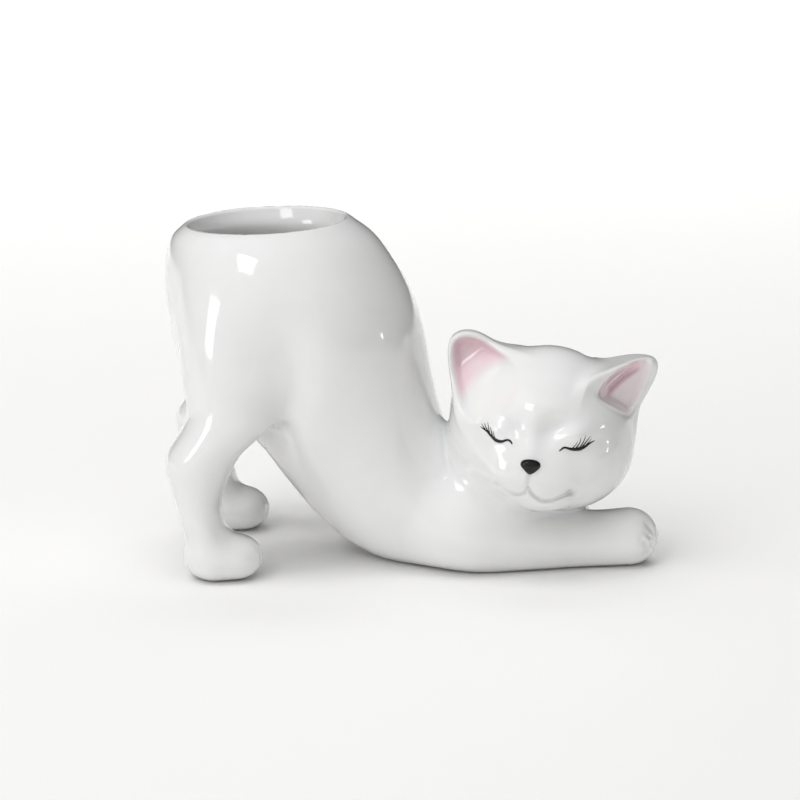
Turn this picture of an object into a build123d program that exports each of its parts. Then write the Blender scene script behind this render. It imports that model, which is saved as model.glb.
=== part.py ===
from build123d import *
from math import sqrt, radians, sin, cos
import os

# ---------------------------------------------------------------- driving dimensions (mm)
# X runs from the rump (-) to the forepaws (+), Y from the near side (-) to the far side (+), Z up.
WALL = 3.0                 # thickness of the cast wall
LIP_ROUND = 1.2            # rounding of the planter lip, inside and out

# trunk: each row is one section, given by its chord in the XZ plane and its half width in Y
# (rear or underside point x, z; back or upper point x, z; half width)
TRUNK = [
    (-65.8, 99.2, -18.2, 101.9, 20.2),   # mouth of the planter
    (-69.0, 96.2, -12.2, 97.4, 24.0),
    (-71.2, 90.6, -6.8, 91.0, 27.8),
    (-72.4, 81.0, -1.0, 81.0, 31.2),
    (-71.2, 69.0, 2.9, 69.5, 32.6),
    (-67.4, 56.0, 5.2, 57.0, 31.8),
    (-58.0, 45.6, 7.6, 46.0, 29.5),
    (-47.4, 36.6, 10.5, 38.0, 27.5),
    (-40.4, 27.6, 14.5, 32.5, 26.5),
    (-32.8, 17.6, 20.5, 29.0, 26.0),
    (-24.2, 8.2, 28.0, 26.0, 25.5),
    (-9.8, -0.4, 34.5, 22.0, 23.5),
    (8.0, -3.0, 37.0, 17.5, 19.5),
]
CAVITY_SECTIONS = 11       # the hollow follows this many trunk sections, inset by the wall

# hind leg: rear point x, z; front point x, z; half width; distance of its middle from the centre plane
HIND = [
    (-60.0, 66.0, -44.0, 65.0, 7.0, 15.0),
    (-64.6, 60.0, -38.6, 58.5, 11.6, 18.0),
    (-66.2, 55.0, -37.4, 52.5, 13.6, 20.2),
    (-65.4, 49.5, -39.6, 46.0, 13.6, 21.8),
    (-68.0, 42.2, -47.6, 38.8, 11.8, 23.4),
    (-71.2, 35.8, -52.2, 32.5, 10.2, 24.3),
    (-70.5, 29.0, -54.4, 27.0, 9.2, 24.5),
    (-68.9, 21.5, -55.4, 20.5, 8.8, 24.5),
    (-67.2, 13.5, -53.4, 13.5, 9.0, 24.5),
    (-65.2, 5.5, -51.6, 5.5, 9.0, 24.5),
    (-63.6, 2.2, -53.0, 2.2, 7.4, 24.5),
]
FOOT_C, FOOT_H, FOOT_R = (-54.8, 24.5, 7.1), 7.5, 11.6    # hind foot: middle, half height, radius
HEEL_C, HEEL_H, HEEL_R = (-59.4, 24.5, 6.0), 9.6, 6.4     # its heel: middle, half width, radius

# foreleg sections across X: x, distance from the centre plane, height of middle, half width, half height
FORE_NEAR = [
    (-4.0, 12.0, 13.0, 6.0, 7.0), (4.0, 15.5, 13.2, 10.4, 11.0), (14.0, 16.8, 12.4, 12.8, 12.6), (25.0, 16.6, 10.2, 11.2, 10.8),
    (36.0, 15.6, 8.6, 9.4, 9.0), (46.0, 14.0, 8.1, 8.7, 8.3), (55.0, 12.4, 8.0, 8.7, 8.3),
    (64.0, 11.2, 8.0, 8.8, 8.2),
]
PAW_C, PAW_H, PAW_R = (63.2, 11.2, 8.2), 9.3, 8.9          # forepaw: middle, half length, radius
FORE_FAR_SHORTER = 20.0    # how much earlier the far forepaw ends
CHEST_C, CHEST_H, CHEST_R = (24.0, 0.0, 13.4), 15.0, 12.6  # rounded front of the chest

# head: its outline in XZ, the middle of that outline, and the Y of its widest section with the depths before and behind it
HEAD_OUTLINE = [(38.4, 65.6), (28.0, 63.4), (17.6, 56.8), (11.2, 46.6), (11.2, 35.6), (17.0, 25.6), (27.0, 19.4),
                (38.0, 17.4), (50.0, 18.2), (59.4, 23.0), (64.4, 32.0), (64.2, 43.4), (58.6, 55.0), (49.6, 63.0)]
HEAD_MID = (38.0, 41.2)
HEAD_Y, HEAD_FRONT, HEAD_BACK = -11.0, 23.4, 23.0
HEAD_STEPS = (-0.994, -0.94, -0.80, -0.58, -0.30, 0.0, 0.30, 0.58, 0.80, 0.94, 0.994)
ROLL = 7.0                 # tilt of the muzzle about Y, in degrees
MUZZ_C, MUZZ_H, MUZZ_R = (34.3, -27.6, 33.2), 11.0, 8.8
NECK_HOLE = 1.5            # radius of the vent between the hollow head and the trunk
# ears: outline in XZ
EAR_RIGHT = [(12.6, 46.5), (10.9, 54.0), (10.5, 61.0), (12.0, 67.6), (15.6, 69.5), (20.0, 68.4), (25.2, 65.3), (31.0, 60.0), (25.0, 52.0), (18.0, 46.5)]
EAR_LEFT = [(66.0, 39.0), (66.6, 47.4), (69.3, 54.0), (70.3, 59.0), (67.8, 61.9), (63.0, 62.2), (57.4, 61.0), (50.0, 57.5), (54.0, 50.0), (60.0, 42.0)]
# their middle in Y and half thickness, and how far the front of each leans in towards the head in X and Z
EAR_R_Y, EAR_R_T, EAR_R_LEAN = -9.0, 3.2, (0.0, 0.0)
EAR_L_Y, EAR_L_T, EAR_L_LEAN = -12.8, 6.4, (-3.6, -2.6)
# sections of an ear and of its scoop: place across the thickness from front (-1) to back (1), and size
EAR_R_BODY, EAR_R_SCOOP = ((-1.0, 0.82), (-0.55, 0.95), (0.0, 1.0), (0.55, 0.94), (1.0, 0.72)), ((-1.4, 0.82), (-0.6, 0.68), (0.1, 0.42))
EAR_L_BODY, EAR_L_SCOOP = ((-1.0, 0.66), (-0.5, 0.84), (0.1, 0.97), (0.55, 1.0), (1.0, 0.80)), ((-1.3, 0.60), (-0.5, 0.56), (0.25, 0.34))
# enamel
NOSE_T = 0.7               # nose enamel stands this proud of the muzzle
LASH_T = 0.5               # lash enamel stands this proud of the lids
LASH_W = 0.9               # width of a lash stroke


# ---------------------------------------------------------------- shared shapes
def chord_plane(row, inset=0.0, y=0.0):
    rx, rz, bx, bz = row[:4]
    return Plane(origin=((rx + bx) / 2, y, (rz + bz) / 2), x_dir=(bx - rx, 0, bz - rz), z_dir=(bz - rz, 0, rx - bx))


def chord_half(row):
    return sqrt((row[2] - row[0]) ** 2 + (row[3] - row[1]) ** 2) / 2


def spheroid(centre, half, radius, axis, grow=0.0):
    """Ellipse turned about its own axis: half length along the axis, radius across it."""
    across = (0, 1, 0) if abs(axis[1]) < 0.5 else (0, 0, 1)
    frame = Plane(origin=centre, x_dir=axis, z_dir=across)
    a, r = half + grow, radius + grow
    with BuildPart() as body:
        with BuildSketch(frame):
            Ellipse(a, r)
            with Locations((0, -r)):
                Rectangle(2.2 * a, 2 * r, mode=Mode.SUBTRACT)
        revolve(axis=Axis(centre, axis))
    return body.part


def disc(centre, radius, thick, axis):
    with BuildPart() as body:
        with BuildSketch(Plane(origin=centre, z_dir=axis)):
            Circle(radius)
        extrude(amount=thick / 2, both=True)
    return body.part


with BuildPart() as below_floor:
    with Locations((0, 0, -20)):
        Box(300, 200, 40)


chest = spheroid(CHEST_C, CHEST_H, CHEST_R, (1, 0, 0))

# trunk, outside, as one solid
with BuildPart() as trunk_solid:
    for row in TRUNK:
        with BuildSketch(chord_plane(row)):
            Ellipse(chord_half(row), row[4])
    loft()
    lip = trunk_solid.faces().sort_by(Axis.Z)[-1].edges()
    fillet(lip, LIP_ROUND)
    add(chest)
    add(below_floor.part, mode=Mode.SUBTRACT)

# hollow of the trunk: starts above the mouth and stops short of the chest
above = (-67.5, 105.5, -16.5, 108.4, 21.8)
with BuildPart() as hollow:
    with BuildSketch(chord_plane(above)):
        Ellipse(chord_half(TRUNK[0]) - WALL, TRUNK[0][4] - WALL)
    for row in TRUNK[:CAVITY_SECTIONS]:
        with BuildSketch(chord_plane(row)):
            Ellipse(chord_half(row) - WALL, row[4] - WALL)
    last = TRUNK[CAVITY_SECTIONS]
    with BuildSketch(chord_plane((-10.0, 5.0, 29.0, 21.5))):
        Ellipse(17.5, 18.5)
    with BuildSketch(chord_plane((3.0, 4.0, 30.0, 16.0))):
        Ellipse(10.5, 13.0)
    loft()
    split(bisect_by=Plane.XY.offset(WALL), keep=Keep.TOP)

# easing of the inner edge of the lip
mouth = chord_plane(TRUNK[0])
mouth_a, mouth_b = chord_half(TRUNK[0]) - WALL, TRUNK[0][4] - WALL
with BuildPart() as lip_inside:
    for down, wider in ((-0.6, 1.9), (0.0, 1.2), (0.45, 0.55), (1.2, 0.0), (2.4, -0.6)):
        with BuildSketch(mouth.offset(down)):
            Ellipse(mouth_a + wider, mouth_b + wider)
    loft()

# ---------------------------------------------------------------- forelegs
def foreleg_solid(side, shorter):
    toe_gaps = [disc((PAW_C[0] - shorter + 8.6, side * PAW_C[1] + dy, 10.4), 4.0, 0.8, (-0.05 * dy, 1, 0)) for dy in (-2.9, 0.0, 2.9)]
    paw = spheroid((PAW_C[0] - shorter, side * PAW_C[1], PAW_C[2]), PAW_H, PAW_R, (1, 0, 0))
    with BuildPart() as leg:
        for x, y, z, ry, rz in FORE_NEAR:
            x2 = x if x < 30 else 30 + (x - 30) * (72.3 - 30 - shorter) / (72.3 - 30)
            with BuildSketch(Plane(origin=(x2, side * y, z), x_dir=(0, 1, 0), z_dir=(1, 0, 0))):
                Ellipse(ry, rz)
        loft()
        add(paw)
        for gap in toe_gaps:
            add(gap, mode=Mode.SUBTRACT)
        add(below_floor.part, mode=Mode.SUBTRACT)
    return leg.part


near_solid = foreleg_solid(-1, 0.0)
far_solid = foreleg_solid(1, FORE_FAR_SHORTER)

# ---------------------------------------------------------------- head
across_head = (cos(radians(ROLL)), 0, -sin(radians(ROLL)))


def head_loft(k):
    """Head outline swept front to back as a rounded solid, k times its full size about its middle."""
    mx, mz = HEAD_MID
    with BuildPart() as body:
        for t in HEAD_STEPS:
            depth = (HEAD_FRONT if t < 0 else HEAD_BACK) * k
            wide = k * sqrt(1 - t * t)
            drop = 3.0 * k * min(t, 0.0) ** 2          # the face sits a little lower than the crown
            with BuildSketch(Plane(origin=(0, HEAD_Y + t * depth, 0), x_dir=(1, 0, 0), z_dir=(0, -1, 0))):
                with BuildLine():
                    Spline(*[(mx + (x - mx) * wide, mz - drop + (z - mz) * wide) for x, z in HEAD_OUTLINE], periodic=True)
                make_face()
        loft()
    return body.part


def head_solid(grow):
    skull = head_loft(1.0 + grow / 24.0)
    muzzle = spheroid(MUZZ_C, MUZZ_H, MUZZ_R, across_head, grow)
    with BuildPart() as h:
        add(skull)
        add(muzzle)
    return h.part


head_outer = head_solid(0.0)

with BuildPart() as neck_hole:
    with BuildSketch(Plane(origin=(34.0, -8.0, 36.0), x_dir=(0, 1, 0), z_dir=(-0.62, 0.32, -0.72))):
        Circle(NECK_HOLE)
    extrude(amount=22.0)

with BuildPart() as pot_body:
    add(trunk_solid.part)
    add(hollow.part, mode=Mode.SUBTRACT)
    add(lip_inside.part, mode=Mode.SUBTRACT)
    add(neck_hole.part, mode=Mode.SUBTRACT)
pot_body.part.label = "pot_body"

with BuildPart() as foreleg_right:
    add(near_solid)
    add(trunk_solid.part, mode=Mode.SUBTRACT)
foreleg_right.part.label = "foreleg_right"

with BuildPart() as foreleg_left:
    add(far_solid)
    add(trunk_solid.part, mode=Mode.SUBTRACT)
foreleg_left.part.label = "foreleg_left"

head_hollow = head_loft(1.0 - WALL / 23.4)
with BuildPart() as head:
    add(head_outer)
    add(trunk_solid.part, mode=Mode.SUBTRACT)
    add(near_solid, mode=Mode.SUBTRACT)
    add(far_solid, mode=Mode.SUBTRACT)
    add(head_hollow, mode=Mode.SUBTRACT)
    add(neck_hole.part, mode=Mode.SUBTRACT)
head.part.label = "head"

# ---------------------------------------------------------------- hind legs
def hind_leg(side):
    foot = spheroid((FOOT_C[0], side * FOOT_C[1], FOOT_C[2]), FOOT_H, FOOT_R, (0, 0, 1))
    heel = spheroid((HEEL_C[0], side * HEEL_C[1], HEEL_C[2]), HEEL_H, HEEL_R, (0, 1, 0))
    with BuildPart() as leg:
        for row in HIND:
            with BuildSketch(chord_plane(row, y=side * row[5])):
                Ellipse(chord_half(row), row[4])
        loft()
        add(foot)
        add(heel)
        add(below_floor.part, mode=Mode.SUBTRACT)
        add(trunk_solid.part, mode=Mode.SUBTRACT)
    return leg


hind_leg_right = hind_leg(-1)
hind_leg_right.part.label = "hind_leg_right"
hind_leg_left = hind_leg(1)
hind_leg_left.part.label = "hind_leg_left"

# ---------------------------------------------------------------- ears
def ear_solid(outline, y, t, lean, body, hollow_rows):
    """An ear as a stack of its outline from front to back, with the front face scooped out."""
    mx = sum(p[0] for p in outline) / len(outline)
    mz = sum(p[1] for p in outline) / len(outline)

    def stack(rows):
        with BuildPart() as solid:
            for dy, k in rows:
                forward = max(0.0, -dy)
                cx, cz = mx + forward * lean[0], mz + forward * lean[1]
                with BuildSketch(Plane(origin=(0, y + dy * t, 0), x_dir=(1, 0, 0), z_dir=(0, -1, 0))):
                    with BuildLine():
                        Spline(*[(cx + (px - mx) * k, cz + (pz - mz) * k) for px, pz in outline], periodic=True)
                    make_face()
            loft()
        return solid.part

    return stack(body) - stack(hollow_rows)


ear_right_solid = ear_solid(EAR_RIGHT, EAR_R_Y, EAR_R_T, EAR_R_LEAN, EAR_R_BODY, EAR_R_SCOOP)
ear_left_solid = ear_solid(EAR_LEFT, EAR_L_Y, EAR_L_T, EAR_L_LEAN, EAR_L_BODY, EAR_L_SCOOP)
with BuildPart() as ear_right:
    add(ear_right_solid)
    add(head_outer, mode=Mode.SUBTRACT)
ear_right.part.label = "ear_right"
with BuildPart() as ear_left:
    add(ear_left_solid)
    add(head_outer, mode=Mode.SUBTRACT)
ear_left.part.label = "ear_left"

# ---------------------------------------------------------------- enamel
# nose: a rounded triangle pushed back through the muzzle tip
head_nose = head_solid(NOSE_T)
with BuildPart() as nose:
    with BuildSketch(Plane.XZ.offset(50)) as nose_face:
        with BuildLine():
            Polyline((30.0, 39.2), (31.4, 39.9), (34.8, 40.0), (36.4, 39.0), (36.4, 37.9), (34.0, 36.0), (33.0, 35.9), (30.3, 37.8), close=True)
        make_face()
        fillet(nose_face.vertices(), 0.45)
    extrude(amount=-22)
    add(head_nose, mode=Mode.INTERSECT)
    add(head_outer, mode=Mode.SUBTRACT)
nose.part.label = "nose"

head_lash = head_solid(LASH_T)


def lash(line, hairs):
    with BuildPart() as strokes:
        with BuildSketch(Plane.XZ.offset(50)):
            with BuildLine():
                Spline(*line)
            trace(line_width=LASH_W)
            for hair in hairs:
                with BuildLine():
                    Line(*hair)
                trace(line_width=LASH_W * 0.7)
        extrude(amount=-30)
        add(head_lash, mode=Mode.INTERSECT)
        add(head_outer, mode=Mode.SUBTRACT)
    return strokes


lash_line_right = lash([(19.0, 47.8), (20.9, 46.1), (23.4, 44.6), (26.0, 44.6), (28.2, 44.0)],
                       [((19.6, 47.2), (19.6, 49.0)), ((21.2, 46.0), (21.6, 48.0))])
lash_line_right.part.label = "lash_line_right"
lash_line_left = lash([(42.0, 41.6), (43.6, 42.5), (46.4, 42.2), (49.0, 42.4), (51.0, 43.6), (52.6, 44.6)],
                      [((46.8, 42.2), (48.4, 44.8)), ((48.2, 42.4), (50.0, 45.0)), ((49.4, 42.6), (51.4, 45.4))])
lash_line_left.part.label = "lash_line_left"

# ---------------------------------------------------------------- export
os.makedirs("parts", exist_ok=True)
for piece in (pot_body, head, ear_left, ear_right, foreleg_left, foreleg_right,
              hind_leg_left, hind_leg_right, nose, lash_line_left, lash_line_right):
    p = piece.part
    box = p.bounding_box()
    print(p.label, len(p.solids()), round(p.volume, 1), p.is_valid,
          [round(v, 2) for v in (*box.min, *box.max)])
export_step(pot_body.part, "parts/pot_body.step")
export_step(head.part, "parts/head.step")
export_step(ear_left.part, "parts/ear_left.step")
export_step(ear_right.part, "parts/ear_right.step")
export_step(foreleg_left.part, "parts/foreleg_left.step")
export_step(foreleg_right.part, "parts/foreleg_right.step")
export_step(hind_leg_left.part, "parts/hind_leg_left.step")
export_step(hind_leg_right.part, "parts/hind_leg_right.step")
export_step(nose.part, "parts/nose.step")
export_step(lash_line_left.part, "parts/lash_line_left.step")
export_step(lash_line_right.part, "parts/lash_line_right.step")
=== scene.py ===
import math
import time
import bpy
import bmesh
import numpy as np
from mathutils import Vector, Matrix


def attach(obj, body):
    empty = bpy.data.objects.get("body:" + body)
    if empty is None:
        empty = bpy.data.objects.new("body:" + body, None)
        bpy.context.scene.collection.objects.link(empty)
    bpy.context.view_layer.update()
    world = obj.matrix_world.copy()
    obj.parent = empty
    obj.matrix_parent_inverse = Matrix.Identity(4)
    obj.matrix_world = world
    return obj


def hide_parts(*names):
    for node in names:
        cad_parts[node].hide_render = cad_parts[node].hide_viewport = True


T0 = time.time()
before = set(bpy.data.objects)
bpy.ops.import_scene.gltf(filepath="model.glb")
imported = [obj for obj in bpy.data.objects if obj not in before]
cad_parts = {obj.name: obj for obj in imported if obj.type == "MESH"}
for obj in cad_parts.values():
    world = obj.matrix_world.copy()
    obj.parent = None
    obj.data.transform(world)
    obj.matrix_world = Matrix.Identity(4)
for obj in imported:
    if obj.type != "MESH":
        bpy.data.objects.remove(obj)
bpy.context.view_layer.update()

# The glazed body is one continuous skin, so its shape is written as one distance field in
# millimetres (negative inside), meshed once, and parted along the luting seams.

H_BODY = 0.80     # cell sizes of the two meshes
H_HEAD = 0.42


# ------------------------------------------------------------------ field tools
def smin(a, b, k):
    h = np.clip(0.5 + 0.5 * (b - a) / k, 0, 1)
    return b + (a - b) * h - k * h * (1 - h)


def smax(a, b, k):
    return -smin(-a, -b, k)


def sst(a, b, x):
    t = np.clip((x - a) / (b - a), 0, 1)
    return t * t * (3 - 2 * t)


def rot_y(deg):
    t = math.radians(deg)
    c, s = math.cos(t), math.sin(t)
    return np.array([[c, 0, s], [0, 1, 0], [-s, 0, c]])


def ell(X, Y, Z, c, r, R=None):
    x, y, z = X - c[0], Y - c[1], Z - c[2]
    if R is not None:
        x, y, z = (R[0, 0] * x + R[1, 0] * y + R[2, 0] * z,
                   R[0, 1] * x + R[1, 1] * y + R[2, 1] * z,
                   R[0, 2] * x + R[1, 2] * y + R[2, 2] * z)
    x, y, z = x / r[0], y / r[1], z / r[2]
    k0 = np.sqrt(x * x + y * y + z * z)
    k1 = np.sqrt((x / r[0]) ** 2 + (y / r[1]) ** 2 + (z / r[2]) ** 2)
    return k0 * (k0 - 1) / np.maximum(k1, 1e-9)


class Spline:
    """natural cubic through rows of values at parameters 0, 1, 2 ..."""

    def __init__(self, vals):
        v = np.array(vals, float)
        n = len(v)
        self.v, self.n = v, n
        A = np.zeros((n, n))
        B = np.zeros_like(v)
        A[0, 0] = A[-1, -1] = 1
        for i in range(1, n - 1):
            A[i, i - 1] = A[i, i + 1] = 1
            A[i, i] = 4
            B[i] = 6 * (v[i + 1] - 2 * v[i] + v[i - 1])
        self.m = np.linalg.solve(A, B)

    def __call__(self, t, col):
        t = np.asarray(t, float)
        i = np.clip(np.floor(t).astype(int), 0, self.n - 2)
        u = t - i
        w = 1 - u
        v, m = self.v[:, col], self.m[:, col]
        return w * v[i] + u * v[i + 1] + ((w ** 3 - w) * m[i] + (u ** 3 - u) * m[i + 1]) / 6


class Tube:
    """body lofted over chords of the XZ plane; rows are (x, z) and (x, z) of the chord's two
    ends, the half width across it, and the place of its middle in Y"""

    def __init__(self, rows, cap0, cap1):
        rows = np.array(rows, float)
        if rows.shape[1] == 5:
            rows = np.hstack([rows, np.zeros((len(rows), 1))])
        self.s, self.n, self.c0, self.c1 = Spline(rows), len(rows), cap0, cap1
        self.T = np.linspace(0, self.n - 1, (self.n - 1) * 3 + 1)
        self.tab = [self.s(self.T, k) for k in range(4)]

    def at(self, X, Z):
        rx, rz, bx, bz = self.tab
        best = np.full(np.broadcast(X, Z).shape, 1e9)
        t = np.full(best.shape, -1.0)
        hp = None
        for j, (a, b, c, d) in enumerate(zip(rx, rz, bx, bz)):
            h = -((c - a) * (Z - b) - (d - b) * (X - a))
            if hp is not None:
                m = (hp * h <= 0) & (hp != h)
                w = np.where(m, hp / np.where(m, hp - h, 1), 0)
                aa = rx[j - 1] + (a - rx[j - 1]) * w
                bb = rz[j - 1] + (b - rz[j - 1]) * w
                cc = bx[j - 1] + (c - bx[j - 1]) * w
                dd = bz[j - 1] + (d - bz[j - 1]) * w
                L = (cc - aa) ** 2 + (dd - bb) ** 2
                n = np.abs(2 * ((X - aa) * (cc - aa) + (Z - bb) * (dd - bb)) / L - 1)
                k = m & (n < best)
                best = np.where(k, n, best)
                t = np.where(k, self.T[j - 1] + (self.T[j] - self.T[j - 1]) * w, t)
            hp = h
        h0 = -((bx[0] - rx[0]) * (Z - rz[0]) - (bz[0] - rz[0]) * (X - rx[0]))
        h1 = -((bx[-1] - rx[-1]) * (Z - rz[-1]) - (bz[-1] - rz[-1]) * (X - rx[-1]))
        L0 = math.hypot(bx[0] - rx[0], bz[0] - rz[0])
        L1 = math.hypot(bx[-1] - rx[-1], bz[-1] - rz[-1])
        none = t < 0
        d0 = (X - (rx[0] + bx[0]) / 2) ** 2 + (Z - (rz[0] + bz[0]) / 2) ** 2
        d1 = (X - (rx[-1] + bx[-1]) / 2) ** 2 + (Z - (rz[-1] + bz[-1]) / 2) ** 2
        at0 = none & (d0 <= d1)
        at1 = none & ~at0
        t = np.where(at0, 0, np.where(at1, self.n - 1, t))
        tau = np.where(at0, np.maximum(-h0 / L0, 0) / self.c0,
                       np.where(at1, np.maximum(h1 / L1, 0) / self.c1, 0))

        def off(tt):
            a, b, c, d = (self.s(tt, k) for k in range(4))
            return -((c - a) * (Z - b) - (d - b) * (X - a))
        for _ in range(2):
            e = 1e-3
            lo, hi = np.clip(t - e, 0, self.n - 1), np.clip(t + e, 0, self.n - 1)
            g = (off(hi) - off(lo)) / (hi - lo)
            g = np.where(np.abs(g) > 1e-6, g, 1e9)
            t = np.where(none, t, np.clip(t - np.clip(off(t) / g, -0.1, 0.1), 0, self.n - 1))
        a, b, c, d = (self.s(t, k) for k in range(4))
        L = np.hypot(c - a, d - b)
        n = 2 * ((X - a) * (c - a) + (Z - b) * (d - b)) / L ** 2 - 1
        return n, L / 2, self.s(t, 4), self.s(t, 5), tau

    def __call__(self, X, Y, Z, pre=None):
        n, a, b, yc, tau = self.at(X, Z) if pre is None else pre
        y = (Y - yc) / b
        k0 = np.sqrt(n * n + y * y + tau * tau)
        k1 = np.sqrt((n / a) ** 2 + (y / b) ** 2 + (tau / self.c1) ** 2)
        return k0 * (k0 - 1) / np.maximum(k1, 1e-9)


# ------------------------------------------------------------------ trunk, legs
TRUNK = [(-62.5, 105.5, -24.0, 108.0, 15.5), (-66.9, 99.5, -18.2, 101.9, 20.2),
         (-70.0, 96.3, -12.2, 97.4, 24.0), (-71.9, 90.6, -6.8, 91.0, 27.8),
         (-72.2, 81.0, -1.0, 81.0, 31.2), (-70.7, 69.0, 2.9, 69.5, 32.6),
         (-67.4, 56.0, 5.2, 57.0, 31.8), (-58.0, 45.6, 7.6, 46.0, 29.5),
         (-47.4, 36.6, 10.5, 38.0, 27.5), (-40.4, 27.6, 14.5, 32.5, 26.5),
         (-32.8, 17.6, 20.5, 29.0, 26.0), (-24.2, 8.2, 28.0, 26.0, 25.5),
         (-9.8, -0.4, 34.5, 22.0, 23.5), (8.0, -3.0, 37.0, 17.5, 19.5)]
trunk = Tube(TRUNK, 4, 14)
LIP_A, LIP_B = np.array([-66.9, 99.5]), np.array([-18.2, 101.9])
_u = (LIP_B - LIP_A) / np.linalg.norm(LIP_B - LIP_A)
LIP_N = np.array([-_u[1], _u[0]])


def hollow_rows():
    rows = [[-66.0, 105.5, -19.4, 108.2, 19.4], [-65.3, 99.6, -19.8, 101.8, 18.7], [-64.3, 95.4, -20.7, 96.6, 16.9],
            [-65.4, 89.6, -18.4, 90.0, 18.9], [-67.6, 81.0, -8.0, 81.0, 25.4]]
    for r in TRUNK[5:11]:
        a, b = np.array(r[0:2]), np.array(r[2:4])
        u = (b - a) / np.linalg.norm(b - a)
        rows.append([*(a + u * 3.0), *(b - u * 3.0), r[4] - 3.0])
    return rows + [[-11.0, 8.0, 26.5, 20.5, 18.0]]


hollow = Tube(hollow_rows(), 4, 8)

HIND = [(-58, 93, -40, 92, 7, 12), (-63.5, 83, -36.5, 81.5, 11.4, 14.6),
        (-66.2, 73, -35.8, 71, 13.6, 16.4), (-66.4, 63.5, -36.0, 61, 14.2, 18.2),
        (-66.0, 55, -37.4, 52.5, 13.6, 20.0), (-65.4, 49.5, -39.6, 46, 13.0, 21.6),
        (-68, 42.2, -47.6, 38.8, 11.4, 23.2), (-71.4, 35.8, -52.2, 32.5, 10.0, 24.2),
        (-70.4, 29, -54.4, 27, 9.2, 24.5), (-68.5, 21.5, -55.4, 20.5, 8.8, 24.5),
        (-66.5, 13.5, -53.6, 13.5, 8.8, 24.5), (-64.8, 5.8, -51.6, 5.8, 8.6, 24.5)]


def hind_rows(s):
    out = []
    for r in HIND:
        r = list(r)
        if s > 0 and r[1] < 33:
            r[2] += 1.2
        r[5] *= s
        out.append(r)
    return out


hind = {s: Tube(hind_rows(s), 5, 4) for s in (-1, 1)}
FORE = [(-4, 12, 13, 6, 7), (4, 15.5, 13.2, 10.4, 11), (14, 16.8, 12.4, 12.8, 12.6),
        (25, 16.6, 10.2, 11.2, 10.8), (36, 15.6, 8.6, 9.4, 9.0), (46, 14, 8.1, 8.7, 8.3),
        (55, 12.4, 8.0, 8.8, 8.3), (63.2, 11.2, 8.2, 9.2, 8.5)]
FAR_SHORT = 24.5


def fore_rows(s, short):
    out = []
    for x, y, z, ry, rz in FORE:
        xx = x if x < 30 else 30 + (x - 30) * (72.3 - 30 - short) / 42.3
        out.append((xx, z - rz, xx, z + rz, ry, s * y))
    return out


fore = {-1: Tube(fore_rows(-1, 0), 6, 9.2), 1: Tube(fore_rows(1, FAR_SHORT), 6, 9.2)}

# ------------------------------------------------------------------ head
HEAD_M = np.array([38.0, 41.2])
HEAD_OUT = np.array([(38.4, 65.5), (28.0, 63.1), (17.6, 56.6), (11.2, 46.6), (11.0, 35.6),
                     (17.0, 25.6), (27.0, 19.4), (38.0, 17.4), (49.6, 18.2), (58.6, 22.8),
                     (64.0, 31.6), (64.1, 43.4), (58.6, 55.0), (49.6, 63.0)])


def closed_table(pts, mid, n=720, k=5):
    d = pts - mid
    th, r = np.arctan2(d[:, 1], d[:, 0]), np.hypot(d[:, 0], d[:, 1])

    def basis(t):
        return np.stack([np.ones_like(t)] + [f(j * t) for j in range(1, k + 1) for f in (np.cos, np.sin)], 1)
    w = np.linalg.lstsq(basis(th), r, rcond=None)[0]
    T = np.linspace(-np.pi, np.pi, n + 1)
    return T, basis(T) @ w


HEAD_T, HEAD_R = closed_table(HEAD_OUT, HEAD_M)


def head_ball(X, Y, Z):
    y = Y + 11.0
    D = np.where(y < 0, 23.6, 23.0)
    drop = 3.0 * np.clip(-y / 23.6, 0, 1) ** 2
    dx, dz = X - HEAD_M[0], Z - HEAD_M[1] + drop
    r = np.sqrt(dx * dx + dz * dz) + 1e-6
    th = np.arctan2(dz, dx)
    R = np.interp(th.ravel(), HEAD_T, HEAD_R).reshape(th.shape)
    k0 = np.sqrt((r / R) ** 2 + (y / D) ** 2)
    k1 = np.sqrt((r / R ** 2) ** 2 + (y / D ** 2) ** 2)
    return k0 * (k0 - 1) / np.maximum(k1, 1e-6)


# a place on the face is named by where its line of sight from the front meets the plane Y = -32
EYE = np.array([-3.8, -965.9, 305.4])
LENS = 3394.0
TILT = math.radians(15)


def sight(u, v, Y=-32.0):
    d = np.array([(u - 400) / LENS, math.cos(TILT) - math.sin(TILT) * (v - 400) / LENS,
                  -math.sin(TILT) - math.cos(TILT) * (v - 400) / LENS])
    q = EYE + (Y - EYE[1]) / d[1] * d
    return q[0], q[2]


def face_pq(X, Y, Z):
    t = (-32.0 - EYE[1]) / (Y - EYE[1])
    return EYE[0] + t * (X - EYE[0]), EYE[2] + t * (Z - EYE[2])


def on_face(*uv):
    return np.array([sight(u, v) for u, v in uv])


STEP = 0.2865


def blob(p, q, uv, su, sv, ang=0):
    c = sight(*uv)
    a = math.radians(ang)
    dp, dq = p - c[0], q - c[1]
    x = (dp * math.cos(a) + dq * math.sin(a)) / (su * STEP)
    y = (-dp * math.sin(a) + dq * math.cos(a)) / (sv * STEP)
    return np.exp(-0.5 * (x * x + y * y))


def pline(p, q, pts, taper=None):
    best = W = None
    for i in range(len(pts) - 1):
        a, b = pts[i], pts[i + 1]
        ab = b - a
        h = np.clip(((p - a[0]) * ab[0] + (q - a[1]) * ab[1]) / (ab @ ab), 0, 1)
        d = np.hypot(p - a[0] - h * ab[0], q - a[1] - h * ab[1])
        w = 1.0 + 0 * d if taper is None else taper[i] + (taper[i + 1] - taper[i]) * h
        if best is None:
            best, W = d, w
        else:
            m = d < best
            best, W = np.where(m, d, best), np.where(m, w, W)
    return best, W


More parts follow.
